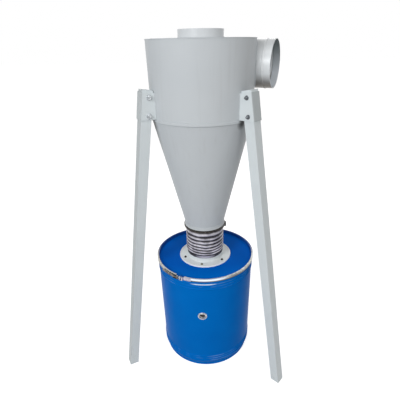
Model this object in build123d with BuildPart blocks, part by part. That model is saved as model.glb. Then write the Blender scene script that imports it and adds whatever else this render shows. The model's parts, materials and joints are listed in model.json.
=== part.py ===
from build123d import *
from math import atan, cos, radians, sin, tan
import os

os.makedirs("parts", exist_ok=True)

# A sheet-metal cyclone separator on three splayed legs, with a hose down to an open-head drum.
# Millimetres. Z is up, the floor is z = 0, and the cyclone's axis is x = y = 0.
# The front faces -Y. An azimuth is counted in degrees from +X towards +Y.

# Cyclone body
sheet = 1.5                   # steel sheet of the body and its pipes
pipe_bore = 150.0             # inlet, outlet and discharge
outlet_stand = 26.0           # outlet pipe above the roof
vortex_depth = 188.0          # outlet pipe below the roof
roof_thickness = 2.0
roof_overhang = 1.0
barrel_radius = 184.5         # outside
barrel_height = 240.0
inlet_azimuth = -23.0         # the way the inlet mouth faces
inlet_drop = 79.5             # inlet axis below the roof's top
inlet_reach = 231.0           # inlet mouth from the upright plane through the cyclone's axis
swage_setback = 28.0          # rolled bead that stops the duct, behind the inlet mouth
swage_width = 7.0
swage_height = 1.6
joint_ring_thickness = 3.0
joint_ring_above = 6.0        # ring above and below the seam between barrel and cone
joint_ring_below = 4.0
cone_height = 428.5
collar_height = 12.0          # stiffening collar under the cone
collar_lip = 1.5              # collar outside the foot of the cone
cone_foot_radius = 83.5       # outside of the cone at its foot
spigot_lap = 8.0              # discharge spigot inside the cone's foot
spigot_grip = 45.0            # discharge spigot inside the hose
weld_gap = 0.15               # left between curved pieces that are welded together

# Hose and its clamps
hose_length = 139.5
hose_rise = 22.0              # hose end above the lid's panel
hose_top_gap = 3.0            # hose end below the collar
hose_fit = 0.3                # hose over its spigots
hose_wall = 0.9               # in the grooves
hose_crest = 4.2              # crests above the grooves
hose_cuff = 14.0              # smooth end that a clamp grips
corrugations = 8
clamp_width = 10.0
clamp_band = 1.4
clamp_fit = 0.2
clamp_azimuth = -3.5          # worm housing of the upper clamp
lower_clamp_azimuth = 128.0
worm_length = 20.0
worm_depth = 12.0
worm_screw_radius = 2.6
worm_screw_length = 29.0

# Drum, lid and flange
drum_height = 517.0           # top of the curl
drum_radius = 211.5
drum_sheet = 1.0
curl_reach = 3.0              # curl outside the wall
curl_height = 9.0
curl_chamfer = 1.5
bead_height = 2.2             # rolled stiffening beads
bead_width = 9.0
bead_pitch = 13.0
upper_bead_drop = 26.0        # first upper bead below the top
lower_bead_rise = 38.0        # first lower bead above the floor
bead_rows = 3
chime_reach = 1.6             # seamed bottom edge outside the wall
chime_height = 9.0
neck_reach = 8.0              # wall drawn in above the chime
neck_height = 30.0
base_rise = 10.0              # drum bottom above the floor
base_fit = 0.2
lid_sheet = 1.2
lid_recess = 10.0             # lid panel below the top of the drum
lid_fit = 0.5                 # lid wall inside the drum
lid_seat = 0.2                # lid brim above the curl
flange_radius = 115.0
flange_thickness = 3.0
lid_spigot_grip = 45.0        # lid spigot inside the hose

# Bung on the drum's front
bung_azimuth = -94.3
bung_height = 318.5
bung_radius = 20.0
bung_stand = 5.0              # flange outside the wall
plug_radius = 13.5
plug_stand = 7.5
plug_socket = 9.5             # square key socket
plug_socket_depth = 5.0
plug_fit = 0.25

# Lever ring that holds the lid
ring_sheet = 1.4
ring_fit = 0.4                # ring outside the curl
ring_lip = 4.5                # top lip over the brim
ring_end_azimuth = -114.0     # right-hand end
ring_opening = 10.0           # degrees between the two ends
lug_sheet = 1.8
lug_span = 8.0                # degrees of the right-hand lug along the ring
left_lug_span = 5.0
knuckle_radius = 3.6
knuckle_stand = 5.0           # knuckle axis outside the ring
knuckle_step = 2.75           # degrees from one knuckle to the next
first_knuckle = 1.8           # degrees from the ring's end to the first knuckle
ear_thickness = 1.6
ear_gap = 0.25                # ears above and below what they hold
pin_radius = 1.8
pin_fit = 0.05
pin_head_radius = 2.8
pin_head = 1.0
lever_span = 22.5             # degrees
lever_thickness = 2.6
lever_edge = 0.3              # lever strip inside its knuckle's ends

# Legs and brackets
right_leg_azimuth = -42.0
left_leg_azimuth = -154.0
rear_leg_azimuth = 82.0
leg_size = 38.0               # square tube
leg_wall = 2.0
leg_rise = 98.0               # tube's axis ends this far above the barrel's lower edge
right_foot_radius = 430.0     # tube axis on the floor; the feet are set out unevenly
left_foot_radius = 401.0
rear_foot_radius = 415.0
leg_gap = 0.8                 # tube's top edge from the barrel
cheek_thickness = 3.0
cheek_rise = 6.0              # bracket above the barrel's lower edge
cheek_height = 89.0           # at its outer edge
cheek_inset = 4.0             # bracket edge inside the tube's outer face
cheek_fit = 0.1

# Levels and radii that follow
pipe_inner = pipe_bore / 2
pipe_outer = pipe_inner + sheet
lid_panel_top = drum_height - lid_recess
hose_bottom = lid_panel_top + hose_rise
hose_top = hose_bottom + hose_length
cone_bottom = hose_top + hose_top_gap + collar_height
spigot_seat = pipe_outer + weld_gap
barrel_bottom = cone_bottom + cone_height
barrel_inner = barrel_radius - sheet
roof_underside = barrel_bottom + barrel_height
roof_top = roof_underside + roof_thickness
inlet_offset = barrel_inner - pipe_outer
inlet_level = roof_top - inlet_drop
leg_height = barrel_bottom + leg_rise
hose_inner = pipe_outer + hose_fit
groove_radius = hose_inner + hose_wall
crest_radius = groove_radius + hose_crest
clamp_inner = groove_radius + clamp_fit
clamp_outer = clamp_inner + clamp_band
drum_inner = drum_radius - drum_sheet
drum_foot = drum_radius - neck_reach
drum_foot_inner = drum_foot - drum_sheet
curl_radius = drum_radius + curl_reach
brim_bottom = drum_height + lid_seat
brim_top = brim_bottom + lid_sheet
ring_inner = curl_radius + ring_fit
ring_outer = ring_inner + ring_sheet
ring_top = brim_top + lid_seat + ring_sheet
ring_bottom = drum_height - curl_height - lid_seat - ring_sheet
knuckle_track = ring_outer + knuckle_stand
lug_inner = ring_outer + weld_gap
lug_outer = lug_inner + lug_sheet


def radial_plane(azimuth):
    # upright plane through the axis: local x outwards, local y up
    angle = radians(azimuth)
    return Plane((0, 0, 0), x_dir=(cos(angle), sin(angle), 0), z_dir=(sin(angle), -cos(angle), 0))


def facing_plane(azimuth, level):
    # plane that faces outwards at an azimuth: local x sideways, local y up
    angle = radians(azimuth)
    return Plane((0, 0, level), x_dir=(-sin(angle), cos(angle), 0), z_dir=(cos(angle), sin(angle), 0))


def on_track(azimuth):
    # place on the track of the lever ring's knuckles
    angle = radians(azimuth)
    return (knuckle_track * cos(angle), knuckle_track * sin(angle))


def save(piece, name):
    piece.label = name
    export_step(piece, f"parts/{name}.step")


inlet_plane = facing_plane(inlet_azimuth, inlet_level)

# Barrel, open to the inlet
with BuildPart() as barrel_wall:
    with BuildSketch(Plane.XY.offset(barrel_bottom)):
        Circle(barrel_radius)
        Circle(barrel_inner, mode=Mode.SUBTRACT)
    extrude(amount=barrel_height)
    with BuildSketch(inlet_plane):
        with Locations((inlet_offset, 0)):
            Circle(pipe_inner)
    extrude(amount=inlet_reach, mode=Mode.SUBTRACT)
save(barrel_wall.part, "barrel_wall")

# Tangential inlet pipe with a rolled bead, its end cut to the barrel
pipe_run = inlet_plane.z_dir
pipe_start = inlet_plane.origin + inlet_plane.x_dir * inlet_offset
swage_middle = inlet_reach - swage_setback


def pipe_profile(radius):
    # one side of the inlet pipe's wall, from the barrel out to the mouth
    return [
        (0, inlet_level + radius),
        (swage_middle - swage_width / 2, inlet_level + radius),
        (swage_middle - swage_width / 6, inlet_level + radius + swage_height),
        (swage_middle + swage_width / 6, inlet_level + radius + swage_height),
        (swage_middle + swage_width / 2, inlet_level + radius),
        (inlet_reach, inlet_level + radius),
    ]


with BuildPart() as inlet_duct:
    with BuildSketch(radial_plane(inlet_azimuth).offset(-inlet_offset)):
        with BuildLine():
            Polyline(*pipe_profile(pipe_outer), *reversed(pipe_profile(pipe_inner)), close=True)
        make_face()
    revolve(axis=Axis(pipe_start, pipe_run))
    with BuildSketch(Plane.XY.offset(barrel_bottom)):
        Circle(barrel_radius)
    extrude(amount=barrel_height, mode=Mode.SUBTRACT)
save(inlet_duct.part, "inlet_duct")

with BuildPart() as roof_plate:
    with BuildSketch(Plane.XY.offset(roof_underside)):
        Circle(barrel_radius + roof_overhang)
        Circle(pipe_outer + weld_gap, mode=Mode.SUBTRACT)
    extrude(amount=roof_thickness)
save(roof_plate.part, "roof_plate")

# Outlet pipe, which hangs on into the barrel
with BuildPart() as outlet_pipe:
    with BuildSketch(Plane.XY.offset(roof_underside - vortex_depth)):
        Circle(pipe_outer)
        Circle(pipe_inner, mode=Mode.SUBTRACT)
    extrude(amount=vortex_depth + roof_thickness + outlet_stand)
save(outlet_pipe.part, "outlet_pipe")

# Rolled ring over the seam between barrel and cone
with BuildPart() as joint_ring:
    with BuildSketch(Plane.XY.offset(barrel_bottom - joint_ring_below)):
        Circle(barrel_radius + weld_gap + joint_ring_thickness)
        Circle(barrel_radius + weld_gap, mode=Mode.SUBTRACT)
    extrude(amount=joint_ring_below + joint_ring_above)
    outer_rims = joint_ring.edges().filter_by(GeomType.CIRCLE).group_by(SortBy.RADIUS)[-1]
    chamfer(outer_rims, length=joint_ring_thickness / 3)
save(joint_ring.part, "joint_ring")

with BuildPart() as cone_wall:
    with BuildSketch(Plane.XZ):
        with BuildLine():
            Polyline(
                (barrel_radius, barrel_bottom),
                (cone_foot_radius, cone_bottom),
                (cone_foot_radius - sheet, cone_bottom),
                (barrel_inner, barrel_bottom),
                close=True,
            )
        make_face()
    revolve(axis=Axis.Z)
save(cone_wall.part, "cone_wall")

with BuildPart() as cone_collar:
    with BuildSketch(Plane.XY.offset(cone_bottom - collar_height)):
        Circle(cone_foot_radius + collar_lip)
        Circle(spigot_seat, mode=Mode.SUBTRACT)
    extrude(amount=collar_height)
save(cone_collar.part, "cone_collar")

with BuildPart() as cone_spigot:
    with BuildSketch(Plane.XY.offset(hose_top - spigot_grip)):
        Circle(pipe_outer)
        Circle(pipe_inner, mode=Mode.SUBTRACT)
    extrude(amount=spigot_grip + hose_top_gap + collar_height + spigot_lap)
save(cone_spigot.part, "cone_spigot")

# Corrugated hose with a smooth cuff at each end
pitch = (hose_length - 2 * hose_cuff) / corrugations
with BuildPart() as hose:
    outline = [(hose_inner, hose_top), (groove_radius, hose_top)]
    for row in range(corrugations):
        start = hose_top - hose_cuff - row * pitch
        outline.append((groove_radius, start))
        outline.append((crest_radius, start - 0.4 * pitch))
        outline.append((crest_radius, start - 0.6 * pitch))
    outline.append((groove_radius, hose_bottom + hose_cuff))
    outline.append((groove_radius, hose_bottom))
    outline.append((hose_inner, hose_bottom))
    with BuildSketch(Plane.XZ):
        with BuildLine():
            Polyline(*outline, close=True)
        make_face()
    revolve(axis=Axis.Z)
save(hose.part, "hose")

# Worm-drive clamps on the hose's cuffs
clamps = {
    "hose_clamp_top": (hose_top - hose_cuff / 2, clamp_azimuth),
    "hose_clamp_bottom": (hose_bottom + hose_cuff / 2, lower_clamp_azimuth),
}
for name, (level, azimuth) in clamps.items():
    worm_plane = facing_plane(azimuth, level)
    side_plane = radial_plane(azimuth)
    with BuildPart() as hose_clamp:
        with BuildSketch(Plane.XY.offset(level - clamp_width / 2)):
            Circle(clamp_outer)
        extrude(amount=clamp_width)
        with BuildSketch(worm_plane):
            Rectangle(worm_length, clamp_width)
        extrude(amount=clamp_outer + worm_depth)
        with BuildSketch(side_plane):
            with Locations((clamp_outer + worm_depth / 2, level)):
                Circle(worm_screw_radius)
        extrude(amount=worm_screw_length / 2, both=True)
        with BuildSketch(Plane.XY.offset(level - clamp_width / 2)):
            Circle(clamp_inner)
        extrude(amount=clamp_width, mode=Mode.SUBTRACT)
    save(hose_clamp.part, name)

# Drum wall with its curl, beads and bottom seam
upper_beads = [drum_height - upper_bead_drop - row * bead_pitch for row in range(bead_rows)]
lower_beads = [lower_bead_rise + row * bead_pitch for row in reversed(range(bead_rows))]
bung_plane = facing_plane(bung_azimuth, bung_height)
with BuildPart() as drum_shell:
    outline = [
        (drum_foot_inner, 0),
        (drum_foot_inner, chime_height + chime_reach),
        (drum_inner, neck_height),
        (drum_inner, drum_height),
        (curl_radius - curl_chamfer, drum_height),
        (curl_radius, drum_height - curl_chamfer),
        (curl_radius, drum_height - curl_height + curl_chamfer),
        (curl_radius - curl_chamfer, drum_height - curl_height),
        (drum_radius, drum_height - curl_height),
    ]
    for level in upper_beads + lower_beads:
        outline.append((drum_radius, level + bead_width / 2))
        outline.append((drum_radius + bead_height, level + bead_width / 6))
        outline.append((drum_radius + bead_height, level - bead_width / 6))
        outline.append((drum_radius, level - bead_width / 2))
    outline.append((drum_radius, neck_height))
    outline.append((drum_foot, chime_height + chime_reach))
    outline.append((drum_foot + chime_reach, chime_height))
    outline.append((drum_foot + chime_reach, 0))
    with BuildSketch(Plane.XZ):
        with BuildLine():
            Polyline(*outline, close=True)
        make_face()
    revolve(axis=Axis.Z)
    with BuildSketch(bung_plane):
        Circle(plug_radius + plug_fit)
    extrude(amount=drum_radius + bung_stand, mode=Mode.SUBTRACT)
save(drum_shell.part, "drum_shell")

# Drum bottom, a dished pan set up inside the wall
with BuildPart() as drum_base:
    with BuildSketch():
        Circle(drum_foot_inner - base_fit)
    extrude(amount=base_rise + drum_sheet)
    with BuildSketch():
        Circle(drum_foot_inner - base_fit - drum_sheet)
    extrude(amount=base_rise, mode=Mode.SUBTRACT)
save(drum_base.part, "drum_base")

# Drum lid, its panel set down inside the rim
lid_wall_outer = drum_inner - lid_fit
with BuildPart() as drum_lid:
    with BuildSketch(Plane.XZ):
        with BuildLine():
            Polyline(
                (spigot_seat, lid_panel_top - lid_sheet),
                (lid_wall_outer, lid_panel_top - lid_sheet),
                (lid_wall_outer, brim_bottom),
                (curl_radius, brim_bottom),
                (curl_radius, brim_top),
                (lid_wall_outer - lid_sheet, brim_top),
                (lid_wall_outer - lid_sheet, lid_panel_top),
                (spigot_seat, lid_panel_top),
                close=True,
            )
        make_face()
    revolve(axis=Axis.Z)
save(drum_lid.part, "drum_lid")

with BuildPart() as lid_flange:
    with BuildSketch(Plane.XY.offset(lid_panel_top)):
        Circle(flange_radius)
        Circle(spigot_seat, mode=Mode.SUBTRACT)
    extrude(amount=flange_thickness)
save(lid_flange.part, "lid_flange")

with BuildPart() as lid_spigot:
    with BuildSketch(Plane.XY.offset(lid_panel_top - lid_sheet)):
        Circle(pipe_outer)
        Circle(pipe_inner, mode=Mode.SUBTRACT)
    extrude(amount=hose_bottom + lid_spigot_grip - lid_panel_top + lid_sheet)
save(lid_spigot.part, "lid_spigot")

# Bung: a flange on the drum wall and the plug screwed into it
with BuildPart() as bung_flange:
    with BuildSketch(bung_plane):
        Circle(bung_radius)
        Circle(plug_radius + plug_fit, mode=Mode.SUBTRACT)
    extrude(amount=drum_radius + bung_stand)
    with BuildSketch(Plane.XY.offset(bung_height - 2 * bung_radius)):
        Circle(drum_radius)
    extrude(amount=4 * bung_radius, mode=Mode.SUBTRACT)
save(bung_flange.part, "bung_flange")

with BuildPart() as bung_plug:
    with BuildSketch(bung_plane.offset(drum_inner - drum_sheet)):
        Circle(plug_radius)
    extrude(amount=2 * drum_sheet + plug_stand)
    with BuildSketch(bung_plane.offset(drum_radius + plug_stand - plug_socket_depth)):
        Rectangle(plug_socket, plug_socket)
    extrude(amount=2 * plug_socket_depth, mode=Mode.SUBTRACT)
save(bung_plug.part, "bung_plug")

# Lever ring, a channel over the brim and the curl, split at the closure
with BuildPart() as clamp_ring:
    with BuildSketch(radial_plane(ring_end_azimuth)):
        with BuildLine():
            Polyline(
                (curl_radius - ring_lip, ring_top),
                (ring_outer, ring_top),
                (ring_outer, ring_bottom),
                (drum_radius + ring_fit, ring_bottom),
                (drum_radius + ring_fit, ring_bottom + ring_sheet),
                (ring_inner, ring_bottom + ring_sheet),
                (ring_inner, ring_top - ring_sheet),
                (curl_radius - ring_lip, ring_top - ring_sheet),
                close=True,
            )
        make_face()
    revolve(axis=Axis.Z, revolution_arc=360 - ring_opening)
save(clamp_ring.part, "clamp_ring")

# Closure: azimuths run to the left from the ring's right-hand end
right_knuckle = ring_end_azimuth - first_knuckle
link_knuckle = right_knuckle - knuckle_step
lever_knuckle = link_knuckle - knuckle_step
ring_left_end = ring_end_azimuth - ring_opening
closure_bottom = ring_bottom + ear_gap
closure_top = ring_top - ear_gap
ear_top = closure_bottom + ear_thickness
knuckle_bottom = ear_top + ear_gap
knuckle_top = closure_top - ear_thickness - ear_gap
ear_levels = (closure_bottom, closure_top - ear_thickness)


def strip_section(azimuth, bottom, top, inner, outer):
    # upright section of a strip that is bent round the ring
    with BuildSketch(radial_plane(azimuth)) as section:
        with Locations(((inner + outer) / 2, (bottom + top) / 2)):
            Rectangle(outer - inner, top - bottom)
    return section.sketch


def round_section(azimuth, radius, level):
    # level section of an upright post on the knuckles' track
    with BuildSketch(Plane.XY.offset(level)) as section:
        with Locations(on_track(azimuth)):
            Circle(radius)
    return section.sketch


def ear_section(first, second, level):
    # level section of an ear with round ends, from one azimuth to another
    start = Vector(*on_track(first))
    end = Vector(*on_track(second))
    with BuildSketch(Plane.XY.offset(level)) as section:
        SlotCenterPoint((start + end) / 2, end, 2 * knuckle_radius)
    return section.sketch


closure_height = closure_top - closure_bottom
knuckle_height = knuckle_top - knuckle_bottom
with BuildPart() as ring_lug_right:
    band = strip_section(ring_end_azimuth, closure_bottom, closure_top, lug_inner, lug_outer)
    revolve(band, axis=Axis.Z, revolution_arc=lug_span)
    web = strip_section(right_knuckle, knuckle_bottom, knuckle_top, lug_inner, lug_outer)
    revolve(web, axis=Axis.Z, revolution_arc=first_knuckle)
    extrude(round_section(right_knuckle, knuckle_radius, knuckle_bottom), amount=knuckle_height)
save(ring_lug_right.part, "ring_lug_right")

with BuildPart() as clamp_link:
    for level in ear_levels:
        extrude(ear_section(right_knuckle, link_knuckle, level), amount=ear_thickness)
    extrude(round_section(link_knuckle, knuckle_radius, closure_bottom), amount=closure_height)
save(clamp_link.part, "clamp_link")

pin_hole = pin_radius + pin_fit
with BuildPart() as ring_lug_left:
    band = strip_section(ring_left_end - left_lug_span, closure_bottom, closure_top, lug_inner, lug_outer)
    revolve(band, axis=Axis.Z, revolution_arc=left_lug_span)
    for level in ear_levels:
        ear = ear_section(lever_knuckle, ring_left_end - left_lug_span / 2, level)
        extrude(ear, amount=ear_thickness)
    hole = round_section(lever_knuckle, pin_hole, closure_bottom)
    extrude(hole, amount=closure_height, mode=Mode.SUBTRACT)
save(ring_lug_left.part, "ring_lug_left")

with BuildPart() as clamp_pin:
    extrude(round_section(lever_knuckle, pin_radius, closure_bottom), amount=closure_height)
    extrude(round_section(lever_knuckle, pin_head_radius, closure_top), amount=pin_head)
save(clamp_pin.part, "clamp_pin")

lever_tip = lever_knuckle - lever_span
lever_inner = knuckle_track - lever_thickness / 2
lever_outer = knuckle_track + lever_thickness / 2
strip_bottom = knuckle_bottom + lever_edge
strip_top = knuckle_top - lever_edge
with BuildPart() as clamp_lever:
    extrude(round_section(lever_knuckle, knuckle_radius, knuckle_bottom), amount=knuckle_height)
    strip = strip_section(lever_tip, strip_bottom, strip_top, lever_inner, lever_outer)
    revolve(strip, axis=Axis.Z, revolution_arc=lever_span)
    extrude(round_section(lever_tip, lever_thickness, strip_bottom), amount=strip_top - strip_bottom)
    hole = round_section(lever_knuckle, pin_hole, knuckle_bottom)
    extrude(hole, amount=knuckle_height, mode=Mode.SUBTRACT)
save(clamp_lever.part, "clamp_lever")

# Legs of square tube, leaning in to the barrel: level feet, tops cut square to the tube
hollow_size = leg_size - 2 * leg_wall
legs = {
    "right": (right_leg_azimuth, right_foot_radius),
    "left": (left_leg_azimuth, left_foot_radius),
    "rear": (rear_leg_azimuth, rear_foot_radius),
}


def leg_lean(foot_radius):
    # lean that brings the tube's top edge to the barrel
    reach = foot_radius - barrel_radius - leg_gap
    first_lean = atan((reach - leg_size / 2) / leg_height)
    return atan((reach - leg_size / 2 / cos(first_lean)) / leg_height)


for side, (azimuth, foot_radius) in legs.items():
    angle = radians(azimuth)
    lean = leg_lean(foot_radius)
    run = Vector(-sin(lean) * cos(angle), -sin(lean) * sin(angle), cos(lean))
    with BuildPart() as leg:
        with BuildSketch(Plane.XY.rotated((0, 0, azimuth))):
            with Locations((foot_radius, 0)):
                Rectangle(leg_size / cos(lean), leg_size)
                Rectangle(hollow_size / cos(lean), hollow_size, mode=Mode.SUBTRACT)
        extrude(amount=(leg_height + leg_size) / cos(lean), dir=run)
        top_radius = foot_radius - leg_height * tan(lean)
        top_middle = (top_radius * cos(angle), top_radius * sin(angle), leg_height)
        split(bisect_by=Plane(top_middle, z_dir=run), keep=Keep.BOTTOM)
    save(leg.part, f"leg_{side}")

# Brackets, two cheek plates on the barrel with a leg between them, their tops square to the leg
cheek_bottom = barrel_bottom + cheek_rise
cheek_top = cheek_bottom + cheek_height


def cheek_reach(level, foot_radius):
    # outer edge of a cheek, which follows the leg
    lean = leg_lean(foot_radius)
    return foot_radius - level * tan(lean) + leg_size / cos(lean) / 2 - cheek_inset


for side, (azimuth, foot_radius) in legs.items():
    top_reach = cheek_reach(cheek_top, foot_radius)
    inner_reach = barrel_inner - leg_size
    top_drop = (top_reach - inner_reach) * tan(leg_lean(foot_radius))
    with BuildPart() as bracket:
        for start in (leg_size / 2 + cheek_fit, -leg_size / 2 - cheek_fit - cheek_thickness):
            with BuildSketch(radial_plane(azimuth).offset(start)):
                with BuildLine():
                    Polyline(
                        (inner_reach, cheek_bottom),
                        (cheek_reach(cheek_bottom, foot_radius), cheek_bottom),
                        (top_reach, cheek_top),
                        (inner_reach, cheek_top - top_drop),
                        close=True,
                    )
                make_face()
            extrude(amount=cheek_thickness)
        with BuildSketch(Plane.XY.offset(barrel_bottom)):
            Circle(barrel_radius)
        extrude(amount=barrel_height, mode=Mode.SUBTRACT)
    save(bracket.part, f"leg_bracket_{side}")
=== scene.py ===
import json
from math import cos, pi, radians, sin, sqrt
import bpy
import bmesh
from mathutils import Matrix, Vector


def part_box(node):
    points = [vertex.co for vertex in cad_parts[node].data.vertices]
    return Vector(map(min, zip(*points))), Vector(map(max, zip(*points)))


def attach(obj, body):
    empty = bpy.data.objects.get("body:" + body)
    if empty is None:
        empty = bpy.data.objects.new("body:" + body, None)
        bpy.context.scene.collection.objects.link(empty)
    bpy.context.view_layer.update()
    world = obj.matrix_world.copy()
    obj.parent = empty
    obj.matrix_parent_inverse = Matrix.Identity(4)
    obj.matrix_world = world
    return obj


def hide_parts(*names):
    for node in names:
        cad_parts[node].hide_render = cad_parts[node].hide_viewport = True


# Cyclone separator with its leg frame, ribbed hose and blue drum. Metres, z up, front faces -y.
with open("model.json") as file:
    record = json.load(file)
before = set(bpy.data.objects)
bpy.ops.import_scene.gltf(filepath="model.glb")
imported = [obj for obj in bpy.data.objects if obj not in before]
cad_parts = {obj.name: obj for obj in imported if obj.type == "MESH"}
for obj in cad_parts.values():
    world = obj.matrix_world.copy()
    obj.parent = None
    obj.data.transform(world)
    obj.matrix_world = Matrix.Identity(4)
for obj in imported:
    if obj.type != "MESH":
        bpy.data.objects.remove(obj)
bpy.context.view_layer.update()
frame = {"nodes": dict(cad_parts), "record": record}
mm = 0.001
print("frame loaded,", len(frame["nodes"]), "nodes")


# small tools

def hexColour(text):
    parts = [int(text[i:i + 2], 16) / 255 for i in (1, 3, 5)]
    linear = [c / 12.92 if c <= 0.04045 else ((c + 0.055) / 1.055) ** 2.4 for c in parts]
    return (*linear, 1.0)


def findSocket(sockets, name):
    for socket in sockets:
        if socket.identifier == name:
            return socket
    return sockets.get(name)


def addNode(tree, kind, settings=None, links=None):
    node = tree.nodes.new(kind)
    for name, value in (settings or {}).items():
        socket = findSocket(node.inputs, name)
        if socket is None:
            setattr(node, name, value)
        else:
            socket.default_value = value
    for name, source in (links or {}).items():
        tree.links.new(source, findSocket(node.inputs, name))
    return node


def startMaterial(name, settings):
    material = bpy.data.materials.new(name)
    material.use_nodes = True
    tree = material.node_tree
    tree.nodes.clear()
    shader = addNode(tree, "ShaderNodeBsdfPrincipled", settings)
    addNode(tree, "ShaderNodeOutputMaterial", links={"Surface": shader.outputs["BSDF"]})
    place = addNode(tree, "ShaderNodeTexCoord").outputs["Object"]
    return material, tree, shader, place


def layOver(tree, under, colour, value, start=0.0, full=1.0, most=1.0):
    # a colour over the one under it, coming in as value goes from start to full
    share = addNode(tree, "ShaderNodeMapRange", {"From Min": start, "From Max": full, "To Max": most},
                    {"Value": value})
    settings = {"data_type": "RGBA", "B_Color": hexColour(colour)}
    links = {"Factor_Float": share.outputs["Result"]}
    if isinstance(under, str):
        settings["A_Color"] = hexColour(under)
    else:
        links["A_Color"] = under
    return addNode(tree, "ShaderNodeMix", settings, links).outputs[2]


def finishCoat(tree, shader, place, colour, wear, s):     # colour, worn gloss and a shallow relief
    tree.links.new(colour, shader.inputs["Base Color"])
    low, high = s["roughness"]
    sheen = addNode(tree, "ShaderNodeMapRange", {"To Min": low, "To Max": high}, {"Value": wear})
    tree.links.new(sheen.outputs["Result"], shader.inputs["Roughness"])
    if "relief" in s:
        size, detail, strength, depth = s["relief"]
        grain = addNode(tree, "ShaderNodeTexNoise", {"Scale": 1 / size, "Detail": detail}, {"Vector": place})
        bump = addNode(tree, "ShaderNodeBump", {"Strength": strength, "Distance": depth},
                       {"Height": grain.outputs["Fac"]})
        tree.links.new(bump.outputs["Normal"], shader.inputs["Normal"])


def aroundAxis(tree, place):             # x, y and z apart, and the distance from the z axis
    split = addNode(tree, "ShaderNodeSeparateXYZ", links={"Vector": place})
    flat = addNode(tree, "ShaderNodeCombineXYZ", links={"X": split.outputs["X"], "Y": split.outputs["Y"]})
    radius = addNode(tree, "ShaderNodeVectorMath", {"operation": "LENGTH"}, {"Vector": flat.outputs["Vector"]})
    return split, radius.outputs["Value"]


def seenDirectly(tree):                  # 1 for rays that show the surroundings, 0 for those that only light
    path = addNode(tree, "ShaderNodeLightPath")
    shown = path.outputs["Is Camera Ray"]
    for ray in ("Is Glossy Ray", "Is Transmission Ray"):
        shown = addNode(tree, "ShaderNodeMath", {"operation": "MAXIMUM"},
                        {"Value": shown, "Value_001": path.outputs[ray]}).outputs[0]
    return shown


def objectMode():
    if bpy.context.object and bpy.context.object.mode != "OBJECT":
        bpy.ops.object.mode_set(mode="OBJECT")


def deselectAll():
    objectMode()
    bpy.ops.object.select_all(action="DESELECT")


def activate(obj):
    deselectAll()
    obj.select_set(True)
    bpy.context.view_layer.objects.active = obj


def settle(obj):                         # place, turn and size go into the mesh
    activate(obj)
    bpy.ops.object.transform_apply(location=True, rotation=True, scale=True)


def applyModifiers(obj):
    activate(obj)
    for modifier in list(obj.modifiers):
        bpy.ops.object.modifier_apply(modifier=modifier.name)


def editStart(obj, mode="FACE"):
    activate(obj)
    bpy.ops.object.mode_set(mode="EDIT")
    bpy.ops.mesh.select_mode(type=mode)
    bpy.ops.mesh.select_all(action="DESELECT")
    return bmesh.from_edit_mesh(obj.data)


def selectFaces(obj, test):
    mesh = bmesh.from_edit_mesh(obj.data)
    for face in mesh.faces:
        face.select_set(bool(test(face)))
    mesh.select_flush_mode()
    bmesh.update_edit_mesh(obj.data)


def insetTop(obj, rim, drop):            # the top face pulled in by rim, and up or down by drop
    editStart(obj)
    selectFaces(obj, lambda face: face.normal.z > 0.99)
    bpy.ops.mesh.inset(thickness=rim, depth=drop)
    objectMode()


def bevelEdges(obj, test, width, segments):
    for edge in editStart(obj, "EDGE").edges:
        edge.select_set(bool(test(edge)))
    bpy.ops.mesh.bevel(offset=width, segments=segments)
    objectMode()


def cutBothSides(obj, reach, axis):      # an edge loop cut at reach and at -reach along the axis
    for place in (reach, -reach):
        editStart(obj)
        bpy.ops.mesh.select_all(action="SELECT")
        bpy.ops.mesh.bisect(plane_co=Vector(axis) * place, plane_no=axis)
        objectMode()


def recalcOutward(obj):
    editStart(obj, "VERT")
    bpy.ops.mesh.select_all(action="SELECT")
    bpy.ops.mesh.remove_doubles(threshold=0.002 * mm)
    bpy.ops.mesh.normals_make_consistent(inside=False)
    objectMode()


def joinAll(objs):
    activate(objs[0])
    for obj in objs[1:]:
        obj.select_set(True)
    if len(objs) > 1:
        bpy.ops.object.join()
    return objs[0]


def dress(obj, name, finish, angle, body="plant", stands=()):
    activate(obj)
    bpy.ops.object.shade_smooth_by_angle(angle=radians(angle))
    settle(obj)
    obj.name = name
    obj.data.name = name
    obj.data.materials.clear()
    obj.data.materials.append(finishes[finish])
    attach(obj, body)
    if stands:
        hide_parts(*stands)


def copiesAt(master, places):            # one mesh each, joined into one object
    copies = []
    for place in places:
        copy = master.copy()
        copy.data = master.data.copy()
        bpy.context.collection.objects.link(copy)
        copy.matrix_world = place
        copies.append(copy)
    bpy.data.objects.remove(master)
    for copy in copies:
        settle(copy)
    return joinAll(copies)


def polar(azimuth, radius, level):
    return Vector((radius * cos(radians(azimuth)), radius * sin(radians(azimuth)), level))


def standingOn(point, outward, turn=0.0):      # local z points outward from a surface
    aim = Vector(outward).normalized().to_track_quat("Z", "Y").to_matrix().to_4x4()
    return Matrix.Translation(point) @ aim @ Matrix.Rotation(radians(turn), 4, "Z")


# camera at the photo's angle, sizes in a 400 px frame
cameraSet = {"place": (11.3 * mm, -1267.7 * mm, 1337.4 * mm), "tilt": 30.07, "roll": -0.93,
             "focalPixels": 329.27, "framePixels": 400, "sensor": 36.0, "middle": (207.44, 234.68), "far": 50}


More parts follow.
